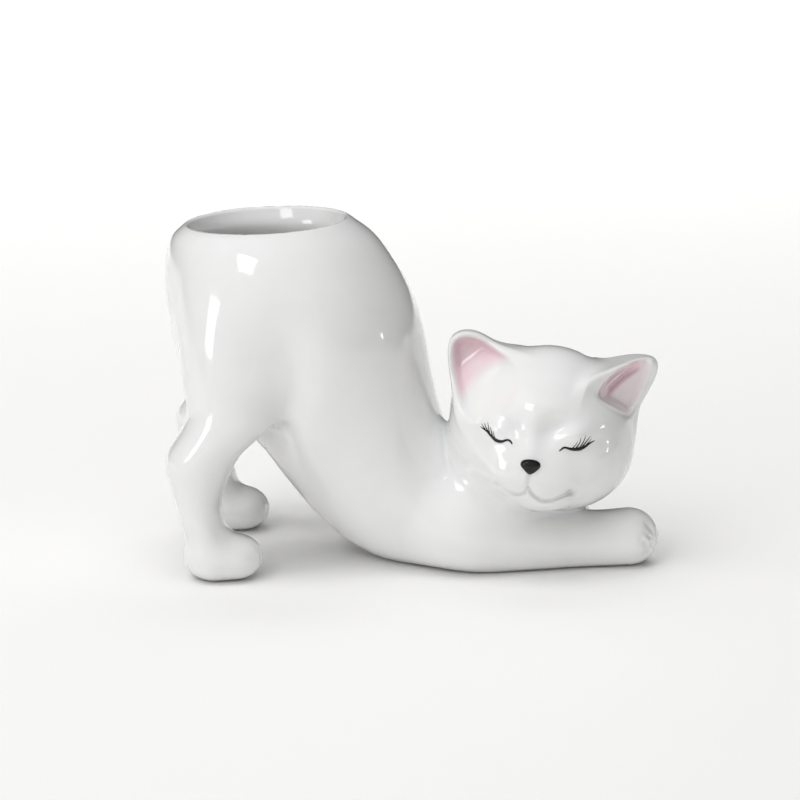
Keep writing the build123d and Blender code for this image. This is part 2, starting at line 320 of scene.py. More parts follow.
def smooth_line(pts, n=4):
    s = Spline(pts)
    t = np.linspace(0, len(pts) - 1, (len(pts) - 1) * n + 1)
    return np.stack([s(t, 0), s(t, 1)], -1)


MOUTH_R = smooth_line(on_face((528.4, 488.0), (530.6, 491.8), (536.0, 497.2), (543.0, 500.6),
                              (550.0, 500.6), (557.0, 498.6), (564.0, 495.4), (570.0, 491.6)))
MOUTH_L = smooth_line(on_face((528.4, 488.0), (525.8, 491.6), (520.0, 494.4), (514.0, 494.2),
                              (508.0, 491.2), (502.0, 487.2), (496.4, 483.6)))
PHILTRUM = on_face((529.6, 474.5), (528.8, 481.0), (528.4, 488.0))


def relief(X, Y, Z, near):
    """height carved on the face, worked out only where near is true"""
    X, Y, Z, near = np.broadcast_arrays(X, Y, Z, near)
    out = np.zeros(near.shape)
    m = near & (Y < -12)
    if m.any():
        out[m] = carving(X[m], Y[m], Z[m])
    return out


def carving(X, Y, Z):
    p, q = face_pq(X, Y, Z)
    h = -1.9 * blob(p, q, (553, 429), 14, 9.5, 25)
    h -= 0.8 * blob(p, q, (585, 441), 22, 9, 8)
    h -= 1.0 * blob(p, q, (513, 428), 10, 9, -15)
    h -= 0.5 * blob(p, q, (486, 433), 13, 9, -25)
    h += 1.7 * blob(p, q, (575, 437), 13.5, 7.5, 6)
    h += 1.25 * blob(p, q, (499, 430), 11.5, 7.5, -22)
    h += 0.8 * blob(p, q, (532, 440), 7.5, 22, -6)
    h += 0.7 * blob(p, q, (534, 405), 26, 12, -8)
    h += 0.7 * blob(p, q, (598, 474), 17, 14, 20)
    h += 0.5 * blob(p, q, (478, 468), 14, 13, -20)
    n, m = len(MOUTH_R), len(MOUTH_L)
    dr, wr = pline(p, q, MOUTH_R, np.linspace(0.8, 0.45, n))
    dl, wl = pline(p, q, MOUTH_L, np.r_[np.linspace(0.8, 0.6, m // 2), np.linspace(0.55, 0.18, m - m // 2)])
    dp, _ = pline(p, q, PHILTRUM)
    line = np.maximum(0.95 * wr * np.exp(-(dr / 0.55) ** 2) + 0.32 * wr * np.exp(-(dr / 1.6) ** 2),
                      0.82 * wl * np.exp(-(dl / 0.55) ** 2) + 0.24 * wl * np.exp(-(dl / 1.5) ** 2))
    h -= np.maximum(line, 0.46 * np.exp(-(dp / 0.75) ** 2))
    h -= 0.85 * blob(p, q, (571.5, 492.5), 4.4, 3.4, 0)
    h -= 0.4 * blob(p, q, (496, 483), 4.0, 3.2, -30)
    h += 0.25 * blob(p, q, (546, 505), 11, 3.0, 2)
    return h * np.clip((-Y - 12.0) / 8.0, 0, 1)


def muzzle(X, Y, Z):
    m = ell(X, Y, Z, (34.0, -27.0, 32.8), (10.6, 8.8, 8.2), rot_y(7))
    a = ell(X, Y, Z, (29.6, -29.6, 32.6), (5.8, 5.2, 5.0), rot_y(7))
    b = ell(X, Y, Z, (38.6, -29.6, 31.8), (6.1, 5.2, 5.2), rot_y(7))
    return smin(m, smin(a, b, 1.4), 3.0)


def head_core(X, Y, Z):
    h = head_ball(X, Y, Z)
    h = smin(h, muzzle(X, Y, Z), 5.5)
    return smin(h, ell(X, Y, Z, (37.0, -26.2, 26.0), (7.6, 5.8, 4.2), rot_y(6)), 4.5)


# ------------------------------------------------------------------ ears
EAR_R = np.array([(14.5, 47.5), (11.9, 54.0), (10.7, 60.5), (10.9, 66.6), (13.9, 69.4),
                  (18.8, 69.0), (24.6, 65.9), (31.5, 60.0), (27.0, 50.0), (20.0, 46.0)])
EAR_L = np.array([(63.0, 39.5), (66.0, 47.0), (69.2, 53.6), (71.0, 59.2), (68.9, 61.8),
                  (63.6, 62.0), (57.2, 60.8), (48.6, 57.0), (51.0, 47.5), (57.0, 40.5)])


def poly_sd(x, z, pts):
    d = np.full(np.broadcast(x, z).shape, 1e9)
    s = np.ones(d.shape)
    for i in range(len(pts)):
        a, b = pts[i], pts[i - 1]
        e = b - a
        wx, wz = x - a[0], z - a[1]
        t = np.clip((wx * e[0] + wz * e[1]) / (e @ e), 0, 1)
        d = np.minimum(d, (wx - e[0] * t) ** 2 + (wz - e[1] * t) ** 2)
        c1, c2, c3 = z >= a[1], z < b[1], e[0] * wz > e[1] * wx
        s = np.where((c1 & c2 & c3) | (~c1 & ~c2 & ~c3), -s, s)
    return s * np.sqrt(d)


def closed_curve(pts, n=6):
    m = len(pts)
    s = Spline(np.concatenate([pts[-3:], pts, pts[:3]]))
    t = np.linspace(3, 3 + m, m * n, endpoint=False)
    return np.stack([s(t, 0), s(t, 1)], -1)


CURVE_R, CURVE_L = closed_curve(EAR_R), closed_curve(EAR_L)


def seg(X, Z, a, b):
    e = np.array(b, float) - np.array(a, float)
    t = np.clip(((X - a[0]) * e[0] + (Z - a[1]) * e[1]) / (e @ e), 0, 1)
    return np.hypot(X - a[0] - t * e[0], Z - a[1] - t * e[1]), t


def ear_right(X, Y, Z):
    d2 = poly_sd(X, Z, CURVE_R) - 0.5
    ins = -d2
    lean = 0.10 * (X - 20) + 0.16 * (Z - 68)
    root = sst(60, 50, Z)
    bowl = 3.6 * sst(0.3, 3.8, ins)
    yf = -12.0 + lean + bowl - 1.5 * root - 2.4 * sst(7.0, 0.5, head_ball(X, Y, Z))
    yb = -6.8 + lean + 1.4 * sst(0, 6, ins) + 2.0 * root
    return smax(d2, smax(yf - Y, Y - yb, 1.5) * 0.92, 1.7)


def ear_left(X, Y, Z):
    """the solid ear, whose front comes forward to meet the side of the head"""
    d2 = poly_sd(X, Z, CURVE_L) - 0.4
    xs = X + 0.35 * (60 - Z)
    fwd = np.clip((70.0 - xs) / 17.0, 0, 1.15)
    yf = -11.6 - 12.5 * fwd
    yb = -6.0 + 1.0 * sst(0, 5, -d2) + 2.0 * np.clip(fwd, 0, 1)
    return smax(d2, smax(yf - Y, Y - yb, 1.6) * 0.75, 2.2)


BOWL_L = closed_curve(np.array([sight(u, v, -16.0) for u, v in
                                ((596.5, 387.5), (603.5, 377.5), (615.0, 370.0), (630.0, 364.6), (643.5, 361.0), (650.4, 364.0),
                                 (650.2, 374.5), (645.0, 389.5), (637.2, 406.0), (629.5, 414.5), (619.0, 408.0), (605.0, 397.5))]), 4)
RIDGE_L = smooth_line(np.array([sight(u, v, -17.0) for u, v in ((600.0, 386.5), (609.0, 378.5), (622.0, 371.0), (638.0, 365.8))]), 3)
FOLD_L = smooth_line(np.array([sight(u, v, -17.0) for u, v in ((608.0, 392.5), (614.0, 387.0), (624.0, 379.5), (637.5, 371.5))]), 3)
FOLD_W = np.interp(np.linspace(0, 1, len(FOLD_L)), (0, 0.25, 0.8, 1), (0.35, 1, 0.9, 0.3))


def bowl_left(X, Y, Z):
    """the scoop of the left ear: everything in front of its floor, inside its outline"""
    d2 = poly_sd(X, Z, BOWL_L)
    xs = X + 0.35 * (60 - Z)
    u = np.clip(xs - 52.0, 0, 30)
    floor = -26.4 + 17.5 * (1 - np.exp(-u / 8.5))
    d1, w1 = pline(X, Z, RIDGE_L, FOLD_W)
    d3, w3 = pline(X, Z, FOLD_L, FOLD_W)
    floor = floor + 1.35 * w1 * np.exp(-(d1 / 0.85) ** 2) + 1.9 * w3 * np.exp(-(d3 / 1.0) ** 2)
    return smax(d2 + 0 * Y, (Y - floor) * 0.62, 2.4)


# ------------------------------------------------------------------ joining
TOES = [(smooth_line(on_face(*uv), 3), np.interp(np.linspace(0, 1, 3 * (len(uv) - 1) + 1), (0, 0.35, 0.7, 1), (0.1, 1, 0.75, 0.05)))
        for uv in (((642.3, 528.4), (648.0, 534.3), (652.3, 539.8), (654.6, 545.0), (653.8, 550.0)),
                   ((638.6, 536.2), (643.3, 542.2), (645.7, 547.6), (645.4, 553.4), (641.2, 556.6)),
                   ((643.4, 521.4), (648.6, 527.0), (652.6, 533.0), (654.6, 539.0)))]
VALLEY = smooth_line(np.array([sight(u, v, -28.0) for u, v in
                               ((290, 296), (289.5, 337), (288, 374), (283, 398), (273, 420), (263, 440))]))
VALLEY_W = np.linspace(0, 1, len(VALLEY))


def flank(X, Y, Z):
    """how far the side of the trunk falls back in front of the thigh"""
    r, w = pline(X, Z, VALLEY, VALLEY_W)
    xv = np.interp(Z, VALLEY[::-1, 1], VALLEY[::-1, 0])
    wide = np.where(X > xv, 7.0, 9.0)
    return (0.5 + 6.5 * w ** 1.2) * np.exp(-(r / wide) ** 2) * sst(8, 20, np.abs(Y))


def base(X, Y, Z, pre, parts):
    d = trunk(X, Y, Z, pre["t"])
    if X.min() < -4:
        d = d + flank(X, Y, Z)
    if "hind" in parts:
        for s in (-1, 1):
            leg = hind[s](X, Y, Z, pre["h%d" % s])
            foot = smin(ell(X, Y, Z, (-54.9, s * 24.5, 6.4), (11.0, 9.5, 6.5)),
                        ell(X, Y, Z, (-51.0, s * 24.5, 6.0), (7.0, 8.6, 6.0)), 2.0)
            foot = smin(foot, ell(X, Y, Z, (-58.4, s * 24.5, 6.2), (6.2, 8.6, 6.2)), 3.0)
            leg = smin(leg, foot, 4.0 if s < 0 else 2.8)
            d = smin(d, leg, 6.5)
        # faint toes of the hind feet
        h = 0
        for k in (-0.5, 0.5):
            h = h + np.exp(-((np.abs(Y) - 24.5 - 5.6 * k) / 0.9) ** 2)
        d = d + 0.26 * h * np.clip((X + 47.5) / 3.0, 0, 1) * (X < -38) * np.clip((Z - 1.5) / 2, 0, 1) * np.clip((12 - Z) / 3, 0, 1)
    if "fore" in parts:
        for s in (-1, 1):
            d = smin(d, fore[s](X, Y, Z, pre["f%d" % s]), 6.0)
        d = smin(d, ell(X, Y, Z, (22, 0, 13.4), (16, 13, 12.8)), 5)
        # toes of the forepaws: plain gaps round the tips, and on the near paw the three curved lines of its side
        for s, x0, gaps in ((-1, 63.4, (-5.4,)), (1, 63.4 - FAR_SHORT, (9.85, 13.2, 16.55))):
            h = 0
            for g in gaps:
                h = h + np.exp(-((Y - g) / 0.66) ** 2)
            m = sst(x0, x0 + 4.5, X + 0.25 * np.abs(Z - 8.2)) * np.clip((Z - 2.4) / 2.2, 0, 1) * np.clip((16.2 - Z) / 2.2, 0, 1)
            d = d + 0.30 * h * m * (s * Y > 0)
        if X.max() > 60:
            p, q = face_pq(X, Y, Z)
            h = 0
            for line, deep in TOES:
                r, w = pline(p, q, line, deep)
                h = np.maximum(h, w * (0.62 * np.exp(-(r / 0.62) ** 2) + 0.30 * np.exp(-(r / 1.5) ** 2)))
            d = d + h * sst(-8.5, -12.5, Y) * (X > 55)
    return d


def head_all(X, Y, Z, ears=True):
    d = head_core(X, Y, Z)
    d = d - relief(X, Y, Z, np.abs(d) < 6)
    if ears:
        d = smin(d, ear_right(X, Y, Z), 6.2)
        d = smin(d, ear_left(X, Y, Z), 3.6)
        d = smax(d, -bowl_left(X, Y, Z), 1.3)
    return d


def total(X, Y, Z, pre, parts):
    b = base(X, Y, Z, pre, parts)
    if "head" in parts:
        k = 4.4 + 8.0 * sst(46, 26, Z) * sst(44, 24, X)
        b = smin(b, head_all(X, Y, Z), k)
    if "lip" in parts:
        lip = (X - LIP_A[0]) * LIP_N[0] + (Z - LIP_A[1]) * LIP_N[1] - 0.28
        b = smax(b, lip + 0 * b, 1.5)
        inside = hollow(X, Y, Z, pre["c"])
        if X.min() < -4:
            inside = inside + flank(X, Y, Z)
        b = smax(b, -inside, 1.2)
    return smax(b, -Z + 0 * b, 0.9)


SLABS = ((-1e9, -27.0, ("hind", "lip")), (-27.0, -16.0, ("lip",)), (-16.0, 3.0, ("fore", "lip")),
         (3.0, 30.0, ("fore", "lip", "head")), (30.0, 1e9, ("fore", "head")))


def precompute(X, Z, parts):
    pre = {"t": trunk.at(X, Z)}
    if "lip" in parts:
        pre["c"] = hollow.at(X, Z)
    for s in (-1, 1):
        if "hind" in parts:
            pre["h%d" % s] = hind[s].at(X, Z)
        if "fore" in parts:
            pre["f%d" % s] = fore[s].at(X, Z)
    return pre


def on_grid(x, y, z):
    """the field on a grid, slab by slab, each with only the parts that reach it"""
    out = np.empty((len(x), len(y), len(z)), np.float32)
    for lo, hi, parts in SLABS:
        i0, i1 = int(np.searchsorted(x, lo)), int(np.searchsorted(x, hi))
        if i0 >= i1:
            continue
        X, Z = x[i0:i1, None, None], z[None, None, :]
        pre = precompute(X, Z, parts)
        for j in range(0, len(y), 24):
            Y = y[None, j:j + 24, None]
            out[i0:i1, j:j + 24, :] = total(X, Y, Z, pre, parts)
    return out


def at_points(P, slopes=False, e=0.02):
    """the field at points, and its slope"""
    f = np.empty(len(P))
    g = np.empty((len(P), 3)) if slopes else None
    for lo, hi, parts in SLABS:
        idx = np.nonzero((P[:, 0] >= lo) & (P[:, 0] < hi))[0]
        for c in range(0, len(idx), 40000):
            k = idx[c:c + 40000]
            X, Y, Z = P[k].T
            pre = precompute(X, Z, parts)
            f0 = total(X, Y, Z, pre, parts)
            f[k] = f0
            if slopes:
                g[k, 1] = (total(X, Y + e, Z, pre, parts) - f0) / e
                g[k, 0] = (total(X + e, Y, Z, precompute(X + e, Z, parts), parts) - f0) / e
                g[k, 2] = (total(X, Y, Z + e, precompute(X, Z + e, parts), parts) - f0) / e
    return (f, g) if slopes else f


def surface_nets(f, org, h):
    ins = f < 0
    nx, ny, nz = f.shape
    cs = np.zeros((nx - 1, ny - 1, nz - 1), np.uint8)
    for dx in (0, 1):
        for dy in (0, 1):
            for dz in (0, 1):
                cs += ins[dx:nx - 1 + dx, dy:ny - 1 + dy, dz:nz - 1 + dz]
    act = (cs > 0) & (cs < 8)
    idx = np.full(act.shape, -1, np.int64)
    I = np.nonzero(act)
    idx[I] = np.arange(len(I[0]))
    acc, cnt = np.zeros((len(I[0]), 3)), np.zeros(len(I[0]))
    cor = {(a, b, c): f[I[0] + a, I[1] + b, I[2] + c].astype(float) for a in (0, 1) for b in (0, 1) for c in (0, 1)}
    for a in range(3):
        o = [k for k in range(3) if k != a]
        for p in (0, 1):
            for q in (0, 1):
                c0 = [0, 0, 0]
                c0[o[0]], c0[o[1]] = p, q
                c1 = list(c0)
                c1[a] = 1
                v0, v1 = cor[tuple(c0)], cor[tuple(c1)]
                m = (v0 < 0) != (v1 < 0)
                w = np.where(m, v0 / np.where(m, v0 - v1, 1), 0)
                pt = np.zeros((len(w), 3))
                pt[:, o[0]], pt[:, o[1]], pt[:, a] = p, q, w
                acc += np.where(m[:, None], pt, 0)
                cnt += m
    V = np.stack(I, -1) + acc / cnt[:, None]
    quads = []
    for a in range(3):
        o = [k for k in range(3) if k != a]
        s0, s1 = [slice(1, -1)] * 3, [slice(1, -1)] * 3
        s0[a], s1[a] = slice(0, -1), slice(1, None)
        A, B = ins[tuple(s0)], ins[tuple(s1)]
        J = np.nonzero(A != B)
        P = np.stack(J, -1) + 1
        P[:, a] -= 1
        up = A[J]

        def cell(d1, d2):
            q = P.copy()
            q[:, o[0]] -= d1
            q[:, o[1]] -= d2
            return idx[q[:, 0], q[:, 1], q[:, 2]]
        q = np.stack([cell(1, 1), cell(0, 1), cell(0, 0), cell(1, 0)], -1)
        flip = up if a != 1 else ~up
        quads.append(np.where(flip[:, None], q, q[:, ::-1]))
    return V * h + org, np.concatenate(quads)


def box_field(x, y, z, lo, hi):
    X, Y, Z = x[:, None, None], y[None, :, None], z[None, None, :]
    return np.maximum.reduce(np.broadcast_arrays(lo[0] - X, X - hi[0], lo[1] - Y, Y - hi[1], lo[2] - Z, Z - hi[2]))


def unit(v):
    return v / np.maximum(np.linalg.norm(v, axis=1, keepdims=True), 1e-9)


def skin(lo, hi, h):
    """closed skin of the field inside a box, drawn onto the true surface, with its normals"""
    lo, hi = np.array(lo, float), np.array(hi, float)
    x, y, z = [np.arange(a - 2.2 * h, b + 3.2 * h, h) for a, b in zip(lo, hi)]
    f = on_grid(x, y, z)
    f = np.maximum(f, box_field(x, y, z, lo, hi)).astype(np.float32)
    V, Q = surface_nets(f, np.array([x[0], y[0], z[0]]), h)
    inner = ((V > lo + 1.5 * h) & (V < hi - 1.5 * h)).all(1)
    P = V[inner]
    N = np.zeros_like(V)
    for _ in range(2):
        f0, g = at_points(P, True)
        st = f0[:, None] * g / np.maximum((g * g).sum(1), 1e-6)[:, None]
        n = np.linalg.norm(st, axis=1, keepdims=True)
        P = P - st * np.minimum(1, 0.5 * h / np.maximum(n, 1e-9))
    V[inner] = P
    N[inner] = unit(g)
    return V, Q, N


def to_object(name, V, F):
    me = bpy.data.meshes.new(name)
    V = np.asarray(V, np.float32) / 1000.0
    F = np.asarray(F, np.int32)
    k = F.shape[1]
    me.vertices.add(len(V))
    me.vertices.foreach_set("co", V.ravel())
    me.loops.add(F.size)
    me.loops.foreach_set("vertex_index", F.ravel())
    me.polygons.add(len(F))
    me.polygons.foreach_set("loop_start", np.arange(0, F.size, k, dtype=np.int32))
    me.polygons.foreach_set("loop_total", np.full(len(F), k, np.int32))
    me.update(calc_edges=True)
    me.validate()
    ob = bpy.data.objects.new(name, me)
    bpy.context.scene.collection.objects.link(ob)
    return ob


def coords(ob):
    co = np.empty(len(ob.data.vertices) * 3, np.float32)
    ob.data.vertices.foreach_get("co", co)
    return co.reshape(-1, 3).astype(float) * 1000.0


def boolean(ob, cutter, op, name):
    """a new object: ob cut by cutter"""
    new = bpy.data.objects.new(name, ob.data.copy())
    bpy.context.scene.collection.objects.link(new)
    for solver in ("MANIFOLD", "EXACT"):
        m = new.modifiers.new("cut", "BOOLEAN")
        m.operation, m.solver, m.object = op, solver, cutter
        bpy.context.view_layer.update()
        dg = bpy.context.evaluated_depsgraph_get()
        me = bpy.data.meshes.new_from_object(new.evaluated_get(dg))
        new.modifiers.clear()
        if len(me.polygons) > 10 and len(me.polygons) != len(ob.data.polygons):
            break
    new.data = me
    me.name = name
    print("  %s %s: %d faces by %s" % (op.lower(), name, len(me.polygons), solver), flush=True)
    return new


def drop(*obs):
    for o in obs:
        bpy.data.objects.remove(o)


def prism(name, poly, y0, y1):
    """closed prism over a polygon of the XZ plane"""
    bm = bmesh.new()
    a = [bm.verts.new((x / 1000, y0 / 1000, z / 1000)) for x, z in poly]
    b = [bm.verts.new((x / 1000, y1 / 1000, z / 1000)) for x, z in poly]
    bm.faces.new(a)
    bm.faces.new(b[::-1])
    for i in range(len(a)):
        bm.faces.new((a[i - 1], a[i], b[i], b[i - 1]))
    bmesh.ops.recalc_face_normals(bm, faces=bm.faces)
    bmesh.ops.triangulate(bm, faces=bm.faces)
    me = bpy.data.meshes.new(name)
    bm.to_mesh(me)
    bm.free()
    ob = bpy.data.objects.new(name, me)
    bpy.context.scene.collection.objects.link(ob)
    return ob


def field_cutter(name, fn, lo, hi, h):
    x, y, z = [np.arange(a - 2 * h, b + 3 * h, h) for a, b in zip(lo, hi)]
    f = fn(x[:, None, None], y[None, :, None], z[None, None, :]) + np.zeros((len(x), len(y), len(z)))
    f = np.maximum(f, box_field(x, y, z, lo, hi))
    V, Q = surface_nets(f.astype(np.float32), np.array([x[0], y[0], z[0]]), h)
    return to_object(name, V, Q)


def stamp(t):
    print("[%5.1f s] %s" % (time.time() - T0, t), flush=True)


# ------------------------------------------------------------------ the two skins and their parting
KNOWN = []
V, Q, N = skin((-79, -42, -6), (79, 42, 108), H_BODY)
KNOWN.append((V, N))
whole = to_object("whole", V, Q)
stamp("body skin %d faces" % len(Q))
V, Q, N = skin((3.5, -43, 10), (79, 19, 77), H_HEAD)
KNOWN.append((V, N))
fine = to_object("fine", V, Q)
stamp("head skin %d faces" % len(Q))


def head_region(X, Y, Z):
    d = head_ball(X, Y, Z) - 1.3
    d = np.minimum(d, ell(X, Y, Z, (38, -33, 43.5), (25, 12, 20)))
    d = np.minimum(d, muzzle(X, Y, Z) - 2.2)
    # the roots of both ears swell a little past the head ball
    d = np.minimum(d, ell(X, Y, Z, (64.5, -8.5, 45.0), (6.0, 9.0, 8.0)))
    d = np.minimum(d, ell(X, Y, Z, (12.4, -19.4, 48.2), (3.6, 5.0, 4.2)))
    up = np.maximum.reduce(np.broadcast_arrays(7.8 - X, 49.0 - Z, X - 76.0, Z - 75.0, -41.0 - Y, Y - 17.0))
    return np.minimum(d, up)


def ear_region(side):
    def f(X, Y, Z):
        e = ear_right(X, Y, Z) if side == "right" else ear_left(X, Y, Z)
        core = head_ball(X, Y, Z)
        return np.maximum(e - 2.6, 1.1 - core) + 0 * X
    return f


cut_head = field_cutter("cut_head", head_region, (4, -42, 11), (78, 18, 76), 1.0)
rest = boolean(whole, cut_head, "DIFFERENCE", "rest")
head_ears = boolean(fine, cut_head, "INTERSECT", "head_ears")
stamp("head parted")
piece = {}
for side, lo, hi in (("right", (6, -32, 44), (36, 8, 76)), ("left", (44, -36, 34), (78, 8, 70))):
    c = field_cutter("cut_ear_" + side, ear_region(side), lo, hi, 0.7)
    piece["ear_" + side] = boolean(head_ears, c, "INTERSECT", "ear_" + side + "_skin")
    nxt = boolean(head_ears, c, "DIFFERENCE", "head_skin")
    drop(head_ears, c)
    head_ears = nxt
piece["head"] = head_ears
for side, s in (("right", -1), ("left", 1)):
    c = prism("cut_fore_" + side, [(25.0, -8), (90, -8), (90, 40), (29.0, 40)], *sorted((-1.6 if s < 0 else 3.2, s * 60)))
    piece["foreleg_" + side] = boolean(rest, c, "INTERSECT", "foreleg_" + side + "_skin")
    nxt = boolean(rest, c, "DIFFERENCE", "rest")
    drop(rest, c)
    rest = nxt
    c = prism("cut_hind_" + side, [(-90, -8), (-38, -8), (-38, 14), (-50, 33), (-45.6, 39), (-38.4, 49.5), (-90, 56)],
              *sorted((s * 8.0, s * 60)))
    piece["hind_leg_" + side] = boolean(rest, c, "INTERSECT", "hind_leg_" + side + "_skin")
    nxt = boolean(rest, c, "DIFFERENCE", "rest")
    drop(rest, c)
    rest = nxt
piece["pot_body"] = rest
drop(whole, fine, cut_head)
stamp("parted")


# ------------------------------------------------------------------ shading normals and finish masks
def keys(V):
    q = np.ascontiguousarray(np.asarray(V / 1000.0, np.float32))
    return q.view(np.dtype((np.void, 12))).ravel()


def normals_for(P, ob):
    """normals of vertices that came through the parting unchanged, worked out afresh for the cut ones"""
    k = keys(P)
    n, have = np.zeros((len(P), 3)), np.zeros(len(P), bool)
    for sk, N in KNOWN_KEYS:
        pos = np.clip(np.searchsorted(sk[0], k), 0, len(sk[0]) - 1)
        hit = (sk[0][pos] == k) & ~have
        n[hit] = N[sk[1][pos[hit]]]
        have |= hit
    have &= np.abs(n).sum(1) > 0.1
    on = have.copy()
    miss = np.nonzero(~have)[0]
    f, g = at_points(P[miss], True)
    n[miss] = unit(g)
    on[miss] = np.abs(f) < 0.03
    return n, on


KNOWN_KEYS = []
for _V, _N in KNOWN:
    _k = keys(_V)
    _o = np.argsort(_k)
    KNOWN_KEYS.append(((_k[_o], _o), _N))


def finish_skin(ob):
    me = ob.data
    P = coords(ob)
    n, skinv = normals_for(P, ob)
    nl, npoly = len(me.loops), len(me.polygons)
    lv = np.empty(nl, np.int32)
    me.loops.foreach_get("vertex_index", lv)
    lt = np.empty(npoly, np.int32)
    me.polygons.foreach_get("loop_total", lt)
    fn = np.empty(npoly * 3, np.float32)
    me.polygons.foreach_get("normal", fn)
    fn = fn.reshape(-1, 3)
    fi = np.repeat(np.arange(npoly), lt)
    count = np.bincount(fi, weights=skinv[lv], minlength=npoly)
    mean_n = unit(np.stack([np.bincount(fi, weights=n[lv, c], minlength=npoly) for c in range(3)], -1))
    # a face belongs to the skin if its corners do and it lies along it; the others are luting faces
    on = (count == lt) & ((mean_n * fn).sum(1) > 0.5)
    me.polygons.foreach_set("use_smooth", np.ones(npoly, bool))
    cn = np.where(on[fi][:, None], n[lv], fn[fi])
    me.normals_split_custom_set(cn.astype(np.float32).tolist())
    # how much the skin bends: creases hold thicker glaze and are darkened with painted shade, edges thinner
    ne = len(me.edges)
    ev = np.empty(ne * 2, np.int32)
    me.edges.foreach_get("vertices", ev)
    ev = ev.reshape(-1, 2)
    dp, dn = P[ev[:, 1]] - P[ev[:, 0]], n[ev[:, 1]] - n[ev[:, 0]]
    L2 = (dp * dp).sum(1)
    good = skinv[ev[:, 0]] & skinv[ev[:, 1]] & (L2 > 0.02)
    bend = np.where(good, (dp * dn).sum(1) / np.maximum(L2, 0.02), 0)
    num = np.bincount(ev[:, 0], weights=bend, minlength=len(P)) + np.bincount(ev[:, 1], weights=bend, minlength=len(P))
    den = np.bincount(ev[:, 0], weights=good, minlength=len(P)) + np.bincount(ev[:, 1], weights=good, minlength=len(P))
    curv = 2 * num / np.maximum(den, 1)
    for _ in range(3):
        s = np.bincount(ev[:, 0], weights=curv[ev[:, 1]], minlength=len(P)) + np.bincount(ev[:, 1], weights=curv[ev[:, 0]], minlength=len(P))
        c = np.bincount(ev.ravel(), minlength=len(P))
        curv = 0.4 * curv + 0.6 * s / np.maximum(c, 1)
    a = me.attributes.new("hollow", "FLOAT", "POINT")
    a.data.foreach_set("value", np.clip(-curv * 1.6, 0, 1).astype(np.float32))
    a = me.attributes.new("edge", "FLOAT", "POINT")
    a.data.foreach_set("value", np.clip((curv - 0.35) * 1.2, 0, 1).astype(np.float32))
    X, Y, Z = P.T
    bare = sst(0.55, 0.12, Z) * (n[:, 2] < -0.6)
    a = me.attributes.new("bare", "FLOAT", "POINT")
    a.data.foreach_set("value", bare.astype(np.float32))
    front = np.clip(-n[:, 1] * 1.6, 0, 1) ** 0.5
    # sprayed into the bowl of the right ear, and into the folds and scoop of the left one
    ir = -poly_sd(X, Z, CURVE_R)
    out = head_ball(X, Y, Z)
    pink_r = sst(0.3, 2.0, ir) * sst(47.0, 56.0, Z + 0.35 * (X - 16)) * (Y < -2) * sst(-0.2, 2.2, out) * (0.75 + 0.25 * sst(7, 3, ir))
    il = -poly_sd(X, Z, BOWL_L)
    d1, _ = pline(X, Z, RIDGE_L)
    d3, _ = pline(X, Z, FOLD_L)
    pink_l = sst(-0.4, 1.0, il) * (0.42 + 0.75 * np.exp(-(d3 / 1.2) ** 2) + 0.55 * np.exp(-(d1 / 1.0) ** 2)) * (Y < -3) * (Y > -27)
    pink = np.maximum(pink_r * (X < 36) * front, pink_l * (X > 44) * np.clip(0.4 + front, 0, 1)) * (Z > 40)
    a = me.attributes.new("blush", "FLOAT", "POINT")
    a.data.foreach_set("value", np.clip(pink, 0, 1).astype(np.float32))
    me.update()


for ob in piece.values():
    finish_skin(ob)
stamp("normals and masks")


# ------------------------------------------------------------------ nose and lashes, laid on the face
def cast(pts_uv, lift=0.0):
    """points of the face under lines of sight, with the surface normal there"""
    uv = np.array(pts_uv, float)
    d = np.stack([(uv[:, 0] - 400) / LENS, math.cos(TILT) - math.sin(TILT) * (uv[:, 1] - 400) / LENS,
                  -math.sin(TILT) - math.cos(TILT) * (uv[:, 1] - 400) / LENS], -1)
    d /= np.linalg.norm(d, axis=1, keepdims=True)
    t = (-40.0 - EYE[1]) / d[:, 1]

    def face(P):
        return head_all(P[:, 0], P[:, 1], P[:, 2], ears=False)
    for _ in range(40):
        f = face(EYE + d * t[:, None])
        t = t + np.clip(f * 0.9, -1.5, 1.5)
        if np.abs(f).max() < 1e-4:
            break
    P = EYE + d * t[:, None]
    f0 = face(P)
    g = np.stack([(face(P + 0.25 * np.eye(3)[k]) - f0) / 0.25 for k in range(3)], -1)
    n = g / np.linalg.norm(g, axis=1, keepdims=True)
    return P + n * lift, n


